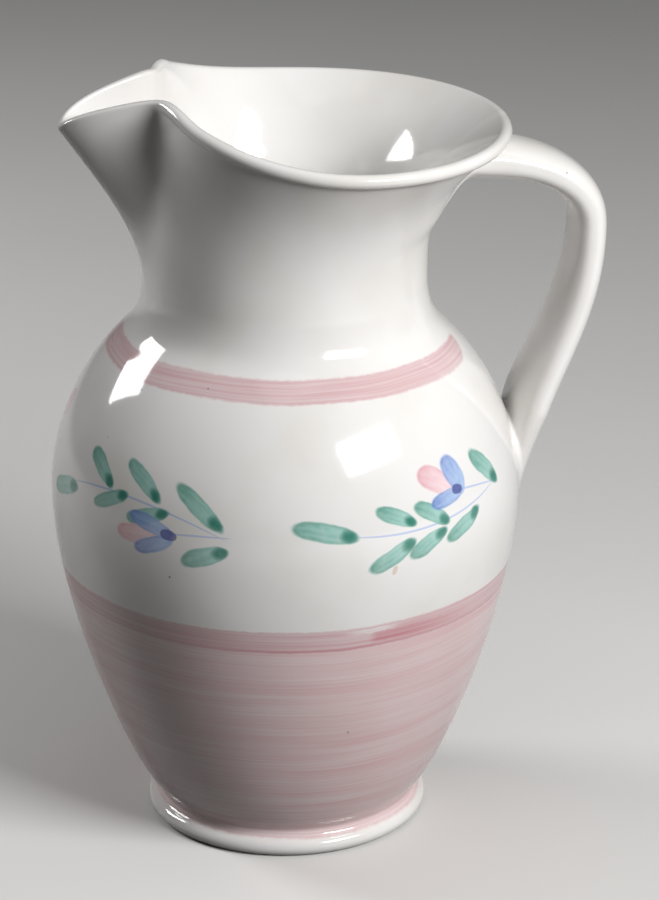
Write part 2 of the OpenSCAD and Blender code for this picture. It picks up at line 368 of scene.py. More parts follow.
def addStreaks(mix, at):
    # Turn is the angle round the axis. Edge is the height, moved by a slow drift and the grain, and fine and
    # broad are noises drawn out round the belly
    at["turn"] = at["y"].maths("ARCTAN2", at["x"]) * (180 / math.pi)
    ground = at["turn"] * arc
    drift = mix.noise(at["place"], streak["driftScale"], 2.0) - 0.5
    at["edge"] = at["z"] + drift * streak["drift"] + (at["grain"] - 0.5) * streak["grain"]
    broad = mix.point(ground * streak["broadAlong"], at["z"] * streak["broadUp"] + drift, 0.0)
    at["broad"] = mix.noise(broad, 1.0, 2.0).ease(*streak["broadTone"])
    fineUp = at["z"] * streak["fineUp"] + drift * streak["fineDrift"]
    fine = mix.point(ground * streak["fineAlong"], fineUp, streak["fineShift"])
    at["fine"] = mix.noise(fine, 1.0, 3.0).ease(*streak["fineTone"])


def bandCover(edge, band):  # 1 between the band's two soft edges
    low, high, soft = band["low"], band["high"], band["soft"]
    return edge.within((low - soft, low + soft), (high + soft, high - soft))


def bandTone(at, band):
    return at["fine"] * band["fine"] + at["broad"] * band["broad"] + band["share"]


def bandPatch(at, patch):
    return at["turn"].within(*patch["turn"]) * at["edge"].within(*patch["height"]) * patch["share"]


def paintBands(mix, at, colour):
    # Returns the colour with the wash and both bands, and the belly band's share. The shoulder band stops
    # short of the handle, at an end that leans by its height and bows by its height^2
    edge, band = at["edge"], shoulderBand
    washed = bandCover(edge, wash) * bandTone(at, wash)
    rimLow, rimHigh = bellyBand["rim"]
    rim = edge.ease(bellyBand["low"] + rimLow, bellyBand["low"] + rimHigh) * bellyBand["rimShare"]
    tone = bandTone(at, bellyBand) + rim + bandPatch(at, bandLap) - bandPatch(at, bandSkip)
    banded = bandCover(edge, bellyBand) * tone
    rise = (at["z"] - band["endHeight"]) / band["endHalf"]
    gap = abs(at["turn"]) + rise * band["endLean"] - rise * rise * band["endBow"]
    upper = bandCover(edge + at["x"] * band["tilt"], band) * gap.ease(*band["end"]) * bandTone(at, band)
    colour = mix.blend(washed, colour, paint["rose"])
    colour = mix.blend(banded, colour, paint["roseDeep"])
    return mix.blend(upper, colour, paint["roseDeep"]), banded


def paintSprigs(mix, at, colour):
    # Both sprigs, repeated half a turn on. Their chart is the belly unrolled, in millimetres, and a fine
    # noise shakes it for all but the stems. Returns the colour and the share under leaves and blue petals
    back = at["y"].above(0.0)
    front = 1 - back
    chart = mix.point((at["turn"] - back * 180.0) * arc, at["z"], 1.0)
    stem = coverOf(brushed(mix, chart, *stems)).atLeast(coverOf(brushed(mix, chart, budStem)) * back)
    shake = mix.noise(at["place"], paint["shakeScale"], 2.0, 1)
    wide = paint["shake"]
    chart = mix.vector("ADD", chart, mix.vector("MULTIPLY", shake, (wide, wide, 0.0)))
    chart = mix.vector("SUBTRACT", chart, (wide / 2, wide / 2, 0.0))
    leaves, end = brushed(mix, chart, *leftLeaves, *rightLeaves), brushed(mix, chart, leftEnd)
    petals, bud = brushed(mix, chart, *blushPetals), brushed(mix, chart, backBud)
    bluePetals = brushed(mix, chart, *skyPetals)
    leaf = coverOf(leaves).atLeast(coverOf(end) * front)
    leafDark = toneOf(mix, leaves).atLeast(toneOf(mix, end) * front)
    leafPool = blotOf(leaves).atLeast(blotOf(end) * front)
    blush = coverOf(petals).atLeast(coverOf(bud) * back)
    blushDark = toneOf(mix, petals).atLeast(toneOf(mix, bud) * back)
    sky, skyDark = coverOf(bluePetals), toneOf(mix, bluePetals)
    heart = coverOf(brushed(mix, chart, *hearts))
    wet = at["grain"] * paint["wetGrain"] + paint["wetLeast"]
    colour = mix.blend(stem * paint["stemShare"], colour, paint["stem"])
    colour = mix.blend(leaf * wet, colour, mix.blend(leafDark, paint["leaf"], paint["leafEdge"]))
    colour = mix.blend(leafPool * wet, colour, paint["leafPool"])
    colour = mix.blend(blush * wet, colour, mix.blend(blushDark, paint["blush"], paint["blushEdge"]))
    colour = mix.blend(sky * wet, colour, mix.blend(skyDark, paint["sky"], paint["skyEdge"]))
    colour = mix.blend(heart * paint["heartShare"], colour, paint["violet"])
    for marks, tint in (([tanSpot], glaze["clay"]), (darkSpots, glaze["speck"])):
        spot = coverOf(brushed(mix, chart, *marks)) * front
        colour = mix.blend(spot * paint["spotShare"], colour, tint)
    return colour, leaf.atLeast(sky)


def stainFoot(mix, at, colour):  # wash that ran on to the foot, and bare clay where it stands
    stain = at["edge"].ease(*footStain["low"]) * (at["fine"] * footStain["fine"] + footStain["share"])
    colour = mix.blend(stain, colour, paint["roseDeep"])
    bare = (at["z"] + at["grain"] * glaze["clayGrain"]).ease(*glaze["clayEdge"])
    return mix.blend(bare, colour, glaze["clay"])


def scatterSpecks(mix, place):
    inputs = {"Vector": place, "Scale": specks["scale"]}
    cells = mix.node("ShaderNodeTexVoronoi", {"feature": "F1"}, inputs, "Distance")
    lucky = mix.node("ShaderNodeSeparateColor", None, {0: cells.output("Color")})
    size = lucky.ease(*specks["sizes"]) * specks["most"]
    return (cells - size).ease(*specks["edge"]) * lucky.above(specks["rare"])


def makeGlaze(name, kind):
    mix = Mixture(name)
    at = readPlace(mix)
    cloud, grain = at["cloud"], at["grain"]
    bare = mix.blend(cloud.ease(*glaze["pool"]), glaze["clean"], glaze["pooled"])
    gloss = glaze["gloss"] + cloud.ease(*glaze["glossCloud"]) * glaze["glossSpread"]
    gloss = gloss + grain * glaze["glossGrain"]
    colour = bare
    if kind != "plain":
        addStreaks(mix, at)
    if kind == "painted":  # outside is an attribute of the belly, which keeps the paint off its inner face
        colour, banded = paintBands(mix, at, colour)
        colour, sprigs = paintSprigs(mix, at, colour)
        outside = mix.node("ShaderNodeAttribute", {"attribute_name": "outside"}, None, "Fac")
        colour = mix.blend(outside, bare, colour)
        gloss = gloss + sprigs.atLeast(banded) * outside * glaze["paintGloss"]
    if kind == "foot":
        colour = stainFoot(mix, at, colour)
    speck = scatterSpecks(mix, at["place"])
    colour = mix.blend(speck * specks["share"], colour, glaze["speck"])
    wave = mix.noise(at["place"], glaze["waveScale"], 1.0) * glaze["ripple"]  # in millimetres
    wave = wave + grain * glaze["peel"] - speck * glaze["pit"]
    bump = mix.node("ShaderNodeBump", None, {"Height": wave, "Strength": 1.0, "Distance": 0.001}, "Normal")
    mix.feed(mix.shader.inputs["Base Color"], colour)
    mix.feed(mix.shader.inputs["Roughness"], gloss + speck * glaze["speckGloss"])
    mix.feed(mix.shader.inputs["Normal"], bump)
    mix.shader.inputs["IOR"].default_value = glaze["bend"]
    return mix.material


whiteGlaze = makeGlaze("whiteGlaze", "plain")
footGlaze = makeGlaze("footGlaze", "foot")
paintedGlaze = makeGlaze("paintedGlaze", "painted")
print("glazes mixed")


def flatNormals(points, faces):  # cross product of two edges of each face, the same at all its corners
    p = points.reshape(-1, 3)[faces]
    square = unit(np.cross(p[:, 1] - p[:, 0], p[:, -1] - p[:, 0]))
    return np.repeat(square[:, None], faces.shape[1], 1)


def makePiece(name, points, faces, normals, material, slotName, *nodes):
    # Faces come as blocks of corner numbers, and normals as one block of corner normals for each of them
    used, renumbered = np.unique(np.concatenate([block.ravel() for block in faces]), return_inverse=True)
    corners, start = [], 0
    for block in faces:
        corners += renumbered[start:start + block.size].reshape(block.shape).tolist()
        start += block.size
    mesh = bpy.data.meshes.new(name)
    mesh.from_pydata((points.reshape(-1, 3)[used] / 1000).tolist(), [], corners)
    mesh.polygons.foreach_set("use_smooth", np.ones(len(mesh.polygons), bool))
    mesh.normals_split_custom_set(np.concatenate([block.reshape(-1, 3) for block in normals]).tolist())
    mesh.materials.append(material)
    piece = bpy.data.objects.new(name, mesh)
    bpy.context.scene.collection.objects.link(piece)
    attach(piece, "root")
    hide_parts(*nodes)
    print(name, len(mesh.polygons), "faces")
    return piece


def gridQuads(columns, rows, loopRows):
    # Corner numbers of a grid that is closed round its columns, and with loopRows round its rows too
    i, j = np.meshgrid(np.arange(columns), np.arange(rows if loopRows else rows - 1), indexing="ij")
    i2, j2 = (i + 1) % columns, (j + 1) % rows
    return np.stack([i * rows + j, i2 * rows + j, i2 * rows + j2, i * rows + j2], -1)


def gridNormals(begin, end):
    # Corner normals of those quads: begin holds a row's normals, and end the next row's, for that quad
    return np.stack([begin, np.roll(begin, -1, 0), np.roll(end, -1, 0), end], 2)


# Columns of all turned pieces, crowded towards the spout: 180 q^crowd degrees from it
columnCount = 288
columnCrowd = 1.35
q = np.arange(columnCount) / (columnCount / 2) - 1
angles = 180 * np.sign(q) * np.abs(q) ** columnCrowd
outX, outY = -np.cos(np.radians(angles)), -np.sin(np.radians(angles))


def turned(line):  # profile of (radius, height) carried round the axis
    x, y = outX[:, None] * line[:, 0], outY[:, None] * line[:, 0]
    return np.stack([x, y, np.broadcast_to(line[:, 1], x.shape)], -1)


def turnedPiece(name, runs, material, slotName, node):
    # A closed profile as runs of (points, normals). A run's last point is the next run's first
    line = np.concatenate([points[:-1] for points, normal in runs])
    begin = turned(np.concatenate([normal[:-1] for points, normal in runs]))
    end = turned(np.concatenate([normal[1:] for points, normal in runs]))
    quads = gridQuads(columnCount, len(line), True).reshape(-1, 4)
    return makePiece(name, turned(line), [quads], [gridNormals(begin, end)], material, slotName, node)


def flat(*points):  # straight run between two points, with normals square to it
    line = np.array(points, float)
    way = unit(line[1] - line[0])
    return line, np.array([[way[1], -way[0]]] * 2)


def lineNormals(line, side):  # the line's direction turned by a quarter, to the right where side is 1
    run = slope(line, 0, False)
    return side * np.stack([run[:, 1], -run[:, 0]], -1)


bellyShape = {
    "wall": 5.0, "waist": (46.5, 8.0), "waistPull": (14.5, 14.0),
    "widest": (85.0, 127.0), "lowerPull": 37.0, "upperPull": 23.0,
    "seam": (55.0, 190.0), "seamPull": (18.5, -15.0), "seamCove": 8.0, "innerSeamCove": 7.0,
    "throat": (51.0, 206.0),
}
footShape = {
    "roll": 3.4, "rollCentre": 48.3, "rollEnd": 62.0, "inner": 39.0, "bevel": 1.5, "height": 8.0, "cove": 3.2,
}
floorShape = {
    "top": 14.0, "under": 8.0, "edge": 45.1, "cove": 9.0, "clear": 1.0,
    "seatLow": 41.5, "seatHigh": 44.6, "seatStep": 0.1,  # hidden seat of the disc in the belly wall
    "hubLow": 20.0, "hubHigh": 18.0,
}
# Points on each stretch of the turned profiles
count = {"roll": 26, "lower": 75, "upper": 55, "innerLower": 60, "innerUpper": 45, "floor": 24, "neck": 25}

waist, widest = np.array(bellyShape["waist"]), np.array(bellyShape["widest"])
seam, throat = np.array(bellyShape["seam"]), np.array(bellyShape["throat"])
lower = [waist, waist + bellyShape["waistPull"], widest - (0, bellyShape["lowerPull"]), widest]
upper = [widest, widest + (0, bellyShape["upperPull"]), seam + bellyShape["seamPull"], seam]
wall = bellyShape["wall"]


def neckLine(top, bottom):  # radius falls with the square of the height still to go to the throat
    t = np.linspace(0, 1, count["neck"])
    radius = top[0] + (bottom[0] - top[0]) * (1 - t) ** 2
    return np.stack([radius, bottom[1] + (top[1] - bottom[1]) * t], -1)


# Outer line: the foot's roll, the cove, the belly's two curves and the neck as far as its throat
rollTurn = np.radians(np.linspace(-90, footShape["rollEnd"], count["roll"]))
roll = footShape["roll"]
rollLine = np.stack([footShape["rollCentre"] + roll * np.cos(rollTurn), roll + roll * np.sin(rollTurn)], -1)
rollLine = np.concatenate([rollLine, waist[None]])
lowerT, upperT = np.linspace(0, 1, count["lower"])[:-1], np.linspace(0, 1, count["upper"])
wallLine = np.concatenate([cubic(lower, lowerT), cubic(upper, upperT)])
outer, waistRow = roundCorner(rollLine, wallLine, footShape["cove"])
outer, seamRow = roundCorner(outer, neckLine(throat, seam), bellyShape["seamCove"])
outerNormals = lineNormals(outer, 1)


def insetLine(curve, t):  # the wall's thickness in from a curve, square to it
    run = cubicRun(curve, t)
    return cubic(curve, t) + wall * np.stack([-run[:, 1], run[:, 0]], -1)


# Inner line: the floor, its cove, the inset of the belly's curves, and the neck
lowerT, upperT = np.linspace(0, 1, count["innerLower"])[:-1], np.linspace(0, 1, count["innerUpper"])
inset = np.concatenate([insetLine(lower, lowerT), insetLine(upper, upperT)])
inset = inset[inset[:, 1] > floorShape["top"] + floorShape["clear"]]
floorEdge = np.array([floorShape["edge"], floorShape["top"]])
floorLine = np.linspace((0, floorShape["top"]), floorEdge, count["floor"])
insideSeam, insideThroat = seam - (wall, 0), throat - (wall, 0)
insideLine = np.concatenate([[floorEdge], inset, [insideSeam]])
inner, coveRow = roundCorner(floorLine, insideLine, floorShape["cove"])
coveRow -= corner["points"] // 2  # from the cove's middle to its start
inner, innerSeamRow = roundCorner(inner, neckLine(insideThroat, insideSeam), bellyShape["innerSeamCove"])
innerNormals = lineNormals(inner, -1)

# Belly wall: up its outer line, over the hidden seam, down inside and back under the floor's cove
seatHigh = (floorShape["seatHigh"], floorShape["top"] - floorShape["seatStep"])
seatLow = (floorShape["seatLow"], floorShape["under"])
bellyRuns = [
    (outer[waistRow:seamRow + 1], outerNormals[waistRow:seamRow + 1]),
    flat(outer[seamRow], inner[innerSeamRow]),
    (inner[coveRow:innerSeamRow + 1][::-1], innerNormals[coveRow:innerSeamRow + 1][::-1]),
    flat(inner[coveRow], seatHigh), flat(seatHigh, seatLow), flat(seatLow, outer[waistRow]),
]
bellyPiece = turnedPiece("bellyWall", bellyRuns, paintedGlaze, "painted_glaze", "belly_wall")

# The paint reads this attribute: 1 on the outer line's rows, 0 on the rows inside
bellyRows = len(bellyPiece.data.vertices) // columnCount
isOuter = np.tile(np.arange(bellyRows) <= seamRow - waistRow, columnCount)
outsideMark = bellyPiece.data.attributes.new("outside", "FLOAT", "POINT")
outsideMark.data.foreach_set("value", isOuter.astype(np.float32))

# Foot ring: flat underside, roll and cove outside, square inside with a bevel
insideR, bevel, footTop = footShape["inner"], footShape["bevel"], footShape["height"]
footRuns = [
    flat((insideR, bevel), (insideR + bevel, 0)), flat((insideR + bevel, 0), outer[0]),
    (outer[:waistRow + 1], outerNormals[:waistRow + 1]),
    flat(outer[waistRow], (insideR, footTop)), flat((insideR, footTop), (insideR, bevel)),
]
turnedPiece("footRing", footRuns, footGlaze, "white_glaze", "foot_ring")

# Floor: a disc with a pole above and below
floorTop, floorUnder = floorShape["top"], floorShape["under"]
discLine = np.array([
    (floorShape["hubLow"], floorUnder), seatLow, seatHigh, (seatHigh[0], floorTop),
    tuple(inner[coveRow]), (floorShape["hubHigh"], floorTop),
])
disc = turned(discLine).reshape(-1, 3)
under, over = len(disc), len(disc) + 1
rows = len(discLine)
column = np.arange(columnCount)
following = (column + 1) % columnCount
discQuads = gridQuads(columnCount, rows, False)
downFan = np.stack([column * 0 + under, following * rows, column * rows], -1)
upFan = np.stack([column * 0 + over, column * rows + rows - 1, following * rows + rows - 1], -1)
discPoints = np.concatenate([disc, [[0, 0, floorUnder], [0, 0, floorTop]]])
discNormals = np.zeros(discQuads.shape + (3,))
discNormals[:, 3:] = (0, 0, 1)
discNormals[:, 0] = (0, 0, -1)
upNormals = np.tile([0.0, 0, 1], (columnCount, 3, 1))
makePiece(
    "floorDisc", discPoints, [discQuads.reshape(-1, 4), downFan, upFan], [discNormals, -upNormals, upNormals],
    whiteGlaze, "white_glaze", "base_disc",
)

mouthShape = {
    "rim": 78.0, "lip": 260.5, "rimCurl": 0.8, "rows": 64, "rowCrowd": 1.7, "lipPoints": 14,
    "pinch": 32.0, "pinchSpread": 82.0, "pinchPower": 2.3,
    "beak": 31.8, "beakSpread": 13.8, "beakCurl": 1.6, "beakWall": 3.0, "lipSharp": 0.45,
    "crest": 19.0, "crestSpread": 66.0, "crestPower": 3, "dip": 15.0, "dipSpread": 12.0, "dipPower": 1.3,
    "spoutReach": 42.8, "handleCurl": -0.2, "handleSpread": 45.0,
    "crease": 1.9, "creaseFade": 10.0, "creasePower": 1.2, "rings": 0.22, "ringCount": 2.6,
    # Clay smeared on the outside at the handle. It widens downwards from smearFrom
    "smear": 2.2, "smearSpread": 24.0, "smearGrow": 50.0, "smearFrom": 0.8, "smearPower": 3,
    "smearStart": (0.34, 0.54), "smearEnd": (0.6, 1.0),
}
# Uneven places left by the thrower's hand, as (lift, angle from the beak, spread)
lipMarks = [(-1.8, 30, 32), (-0.7, 48, 8), (0.6, 78, 16), (-1.4, -28, 7), (0.5, -42, 5), (-0.9, 130, 40)]
m = mouthShape


def mouthMiddle(a, t):
    # Middle of the flared shell at the angle a from the beak and the share t of the way from throat to lip.
    # Its radius grows with t^2 (curl - (curl - 1) t). Bells pinch the sides, pull the beak, lift the crests
    curl = m["rimCurl"] + (m["beakCurl"] - m["rimCurl"]) * bell(a, 2 * m["beakSpread"], 2)
    curl = curl + (m["handleCurl"] - m["rimCurl"]) * bell(180 - np.abs(a), m["handleSpread"], 2)
    lipR = m["rim"] - m["pinch"] * bell(a, m["pinchSpread"], m["pinchPower"])
    lipR = lipR + m["beak"] * bell(a, m["beakSpread"], 2)
    lipZ = m["lip"] + m["crest"] * bell(a, m["crestSpread"], m["crestPower"])
    lipZ = lipZ - m["dip"] * bell(a, m["dipSpread"], m["dipPower"])
    lipZ = lipZ + sum(lift * bell(a - place, spread, 2) for lift, place, spread in lipMarks)
    throatR = throat[0] - wall / 2
    r = throatR + (lipR - throatR) * t * t * (curl - (curl - 1) * t)
    z = throat[1] + (lipZ - throat[1]) * t
    return np.stack([-r * np.cos(np.radians(a)), -r * np.sin(np.radians(a)), z + 0 * r], -1)


def mouthFrame(a, t):  # middle, outward normal, rise along the shell and half its thickness
    stepT, stepA = 0.001, 0.05
    rise = unit(mouthMiddle(a, np.minimum(t + stepT, 1)) - mouthMiddle(a, np.maximum(t - stepT, 0)))
    out = unit(np.cross(mouthMiddle(a + stepA, t) - mouthMiddle(a - stepA, t), rise))
    thin = (m["beakWall"] - wall) / 2 * bell(a, 2 * m["beakSpread"], 2) * t
    return mouthMiddle(a, t), out, rise, (wall / 2 + thin)[..., None]


def lipSection(a, middle, out, rise, half):
    # A half circle over the end of the shell. Towards the beak its sine and cosine are raised to a lower
    # power, which squares the edge
    over = np.radians(np.linspace(0, 180, m["lipPoints"] + 2)[1:-1])[None]
    power = 1 - m["lipSharp"] * bell(a, 2 * m["beakSpread"], 4)
    aside = np.sign(np.cos(over)) * np.abs(np.cos(over)) ** power
    ahead = np.sin(over) ** power
    return middle[:, -1:] + half[:, -1:] * (out[:, -1:] * aside[..., None] + rise[:, -1:] * ahead[..., None])


def creaseDepth(a, t):
    # Away from the beak the lip's circle runs on to a crease below it, from which the outer face fades out
    lastPart = 0.01
    last = mouthMiddle(a, 1 + 0 * t) - mouthMiddle(a, 1 - lastPart + 0 * t)
    below = (1 - t) * np.linalg.norm(last, axis=-1) / lastPart
    radius = wall / 2
    circle = radius - np.sqrt(radius ** 2 - np.minimum(below, m["crease"]) ** 2)
    dent = circle * bell(np.maximum(below - m["crease"], 0), m["creaseFade"], m["creasePower"])
    return (dent * (1 - bell(a, 2 * m["beakSpread"], 4)))[..., None]


def smearDepth(a, t):
    spread = m["smearSpread"] + m["smearGrow"] * (m["smearFrom"] - t)
    smear = m["smear"] * smoothStep(t, *m["smearStart"]) * (1 - smoothStep(t, *m["smearEnd"]))
    return (smear * bell(180 - np.abs(a), spread, m["smearPower"]))[..., None]


def mouthSections(a, creased=True):
    # Section at each angle: up the outer face, over the lip and down the inner face. Rows crowd towards the
    # lip as 1 - (1 - s)^crowd. The inner face has throwing rings, a sine wave that dies out at both ends
    a = np.asarray(a, float)[:, None]
    t = 1 - (1 - np.linspace(0, 1, m["rows"])[None]) ** m["rowCrowd"]
    middle, out, rise, half = mouthFrame(a, t)
    lip = lipSection(a, middle, out, rise, half)
    ring = m["rings"] * np.sin(2 * np.pi * m["ringCount"] * t) * np.sin(np.pi * t) ** 2
    inside = middle - (half + ring[..., None]) * out
    outside = half + smearDepth(a, t)
    if creased:
        outside = outside - creaseDepth(a, t)
    return np.concatenate([middle + outside * out, lip, inside[:, ::-1]], 1)


flareRows = mouthSections(angles)
neckOut = turned(outer[seamRow:])
neckIn = turned(inner[innerSeamRow:][::-1])
mouth = np.concatenate([neckOut[:, :-1], flareRows, neckIn[:, 1:]], 1)
mouthNormals = unit(np.cross(slope(mouth, 0, True), slope(mouth, 1, False)))
mouthNormals[:, 0] = turned(outerNormals[seamRow][None])[:, 0]
mouthNormals[:, -1] = turned(innerNormals[innerSeamRow][None])[:, 0]
mouthRows = mouth.shape[1]
throatRow = neckOut.shape[1] - 1
backRow = mouthRows - neckIn.shape[1]
mouthQuads = gridQuads(columnCount, mouthRows, True)
mouthCorners = gridNormals(mouthNormals, np.roll(mouthNormals, -1, 1))
mouthCorners[:, -1] = (0, 0, -1)  # hidden seam on the belly

# The spout takes the flared rows on both sides of the beak. Hidden faces close both pieces where they meet
spoutColumns = np.abs(angles + np.roll(angles, -1)) / 2 < m["spoutReach"]
spoutColumns[-1] = False
row = np.arange(mouthRows)
inSpout = spoutColumns[:, None] & (row >= throatRow) & (row < backRow)
first, last = np.flatnonzero(spoutColumns)[[0, -1]] + (0, 1)
along = np.arange(first, last)
ledge = np.stack([along * mouthRows + throatRow, along * mouthRows + backRow,
                  (along + 1) * mouthRows + backRow, (along + 1) * mouthRows + throatRow], -1)
up = np.arange((backRow - throatRow) // 2)


def edgeQuads(side):  # upright cut through the shell at one column
    low, high = side * mouthRows + throatRow + up, side * mouthRows + backRow - up
    return np.stack([low, low + 1, high - 1, high], -1)


def mouthPiece(name, part, hidden, node):
    faces = [mouthQuads[part], hidden]
    normals = [mouthCorners[part], flatNormals(mouth, hidden)]
    makePiece(name, mouth, faces, normals, whiteGlaze, "white_glaze", node)


spoutHidden = np.concatenate([ledge, edgeQuads(first), edgeQuads(last)[:, ::-1]])
mouthPiece("neckCollar", ~inSpout, spoutHidden[:, ::-1], "neck_collar")
mouthPiece("pinchedSpout", inSpout, spoutHidden, "spout")

handleShape = {
    "head": (46.0, 249.5), "headRun": 33.0, "bow": (110.0, 222.0), "bowUp": 22.0, "bowDown": 42.0,
    "tailHeight": 116.0, "tailRise": 47.0, "tailLean": 1.0, "tailThick": 5.0, "tailWide": 26.0,
    "wide": 30.0, "wideLow": 42.0, "thick": 12.5, "headFlare": 14.0,
    "headOut": 81.0,  # radius at which the strap goes over into the lute at its head
    "tailClear": 4.0,  # room to the belly at which it goes over into the lute at its tail
    "headWeb": 18.5, "webStart": 0.108, "webReach": 0.5,
    "headThick": 1.3, "thickPlace": 0.66, "thickSpread": 0.35,
    "headRise": 1.1, "risePlace": 0.35, "riseSpread": 0.3,
    "headPower": 3, "webPower": 3, "tailPower": 1.5,
    "outerSquare": 2.1, "innerSquare": 2.9, "edgeSquare": 2.3, "sides": 96, "rows": 140,
}


def wallRadius(line, z):  # radius of a wall at a height, from its profile
    return np.interp(z, line[:, 1], line[:, 0])


h = handleShape
head, bow = np.array(h["head"]), np.array(h["bow"])
tail = np.array([wallRadius(outer, h["tailHeight"]) - h["tailThick"] / 2, h["tailHeight"]])
topCurve = [head, head + (h["headRun"], 0), bow + (0, h["bowUp"]), bow]
lowCurve = [bow, bow - (0, h["bowDown"]), tail + (h["tailLean"], h["tailRise"]), tail]


def strapPath(u):  # the upper curve for u up to 1, the lower one after it
    return np.where(u[..., None] <= 1, cubic(topCurve, u), cubic(lowCurve, u - 1))


def strapRun(u):  # direction of travel along both curves
    return np.where(u[..., None] <= 1, cubicRun(topCurve, u), cubicRun(lowCurve, u - 1))


fineU = np.linspace(0, 2, 4001)
finePath = strapPath(fineU)
onTop = fineU <= 1
headEnd = float(np.interp(h["headOut"], finePath[onTop, 0], fineU[onTop]))
clear = finePath[:, 0] - h["thick"] / 2 - wallRadius(outer, finePath[:, 1]) > h["tailClear"]
tailStart = float(fineU[clear & ~onTop][-1])


def strap(u, turn):
    # Oval section across the path: depth is cos(turn) and width sin(turn), each raised to 2/n to flatten it.
    # The face towards the fingers is flatter. The head grows a web, and the tail thins and narrows
    headPart = np.maximum(0, 1 - u / headEnd) ** h["headPower"]
    tailPart = np.maximum(0, (u - tailStart) / (2 - tailStart)) ** h["tailPower"]
    lowPart = np.clip((u - 1) / (tailStart - 1), 0, 1)
    gone = np.clip((u / headEnd - h["webStart"]) / h["webReach"], 0, 1)
    web = h["headWeb"] * (1 - gone ** 2) ** h["webPower"]
    web = web + h["headThick"] * bell(u / headEnd - h["thickPlace"], h["thickSpread"], 2)
    rise = h["headRise"] * bell(u - h["risePlace"], h["riseSpread"], 2)
    wide = h["wide"] + (h["wideLow"] - h["wide"]) * lowPart
    wide = wide + h["headFlare"] * headPart + (h["tailWide"] - wide) * tailPart
    thick = h["thick"] + web + rise + (h["tailThick"] - h["thick"]) * tailPart
    c, s = np.cos(turn), np.sin(turn)
    square = np.where(c > 0, h["innerSquare"], h["outerSquare"])
    depth = (thick * np.sign(c) * np.abs(c) ** (2 / square) + web - rise) / 2
    across = wide * np.sign(s) * np.abs(s) ** (2 / h["edgeSquare"]) / 2
    path, run = strapPath(u), strapRun(u)
    x, z = path[..., 0] + run[..., 1] * depth, path[..., 1] - run[..., 0] * depth
    return np.stack([x, across + 0 * depth, z], -1)


turns = np.linspace(0, 2 * np.pi, h["sides"], endpoint=False)[:, None] + 0.5 * np.pi / h["sides"]


def strapNormal(u, turn):  # cross product of small steps round and along the strap
    stepTurn, stepU = 0.004, 0.0005
    stepRound = strap(u, turn + stepTurn) - strap(u, turn - stepTurn)
    stepAlong = strap(u + stepU, turn) - strap(u - stepU, turn)
    return unit(np.cross(stepRound, stepAlong))


def capFans(grid):  # triangles from a middle point to the first row and to the last row of a tube
    sides, rows = grid.shape[:2]
    s = np.arange(sides)
    s2 = (s + 1) % sides
    start = np.stack([s * 0 + sides * rows, s2 * rows, s * rows], -1)
    end = np.stack([s * 0 + sides * rows + 1, s * rows + rows - 1, s2 * rows + rows - 1], -1)
    return np.concatenate([start, end])


def tubePiece(name, grid, normals, node):  # a grid closed round its sides, with a cap at each end
    middles = np.stack([grid[:, 0].mean(0), grid[:, -1].mean(0)])
    points = np.concatenate([grid.reshape(-1, 3), middles])
    quads = gridQuads(*grid.shape[:2], False).reshape(-1, 4)
    corners = gridNormals(normals[:, :-1], normals[:, 1:])
    caps = capFans(grid)
    capNormals = flatNormals(points, caps)
    makePiece(name, points, [quads, caps], [corners, capNormals], whiteGlaze, "white_glaze", node)


strapU = np.linspace(headEnd, tailStart, h["rows"])[None] + 0 * turns
tubePiece("strapHandle", strap(strapU, turns), strapNormal(strapU, turns), "handle")

luteShape = {
    "headReach": 2.4, "tailReach": 7.0, "sink": 1.2, "outward": 0.35, "most": 0.6,
    "headDeep": 0.02, "tailDeep": 2.06,  # places on the strap's path that lie inside the walls
    "tries": 400, "straightRows": 24, "bendRows": 14,
}
flareLine = mouthSections([180.0], False)[0][:m["rows"]]
flareLine = np.stack([np.hypot(flareLine[:, 0], flareLine[:, 1]), flareLine[:, 2]], -1)


def wallNormal(line, points):  # outward, and down by the slope of the wall's radius
    step = 0.2
    fall = (wallRadius(line, points[..., 2] + step) - wallRadius(line, points[..., 2] - step)) / (2 * step)
    r = np.hypot(points[..., 0], points[..., 1])
    return unit(np.stack([points[..., 0] / r, points[..., 1] / r, -fall], -1))


def onWall(points, line):  # moved in or out to the wall's radius at the same height
    scale = wallRadius(line, points[..., 2]) / np.hypot(points[..., 0], points[..., 1])
    return points * np.stack([scale, scale, np.ones_like(scale)], -1)


def meetWall(uFree, uDeep, line):  # place on the strap's path where each line along it goes into the wall
    u = np.linspace(uFree, uDeep, luteShape["tries"])[None] + 0 * turns
    trial = strap(u, turns)
    room = np.hypot(trial[..., 0], trial[..., 1]) - wallRadius(line, trial[..., 2])
    hit = np.clip(np.argmax(room < 0, 1), 1, None)
    pick = np.arange(len(turns))
    share = room[pick, hit - 1] / (room[pick, hit - 1] - room[pick, hit])
    return (u[pick, hit - 1] + (u[pick, hit] - u[pick, hit - 1]) * share)[:, None]


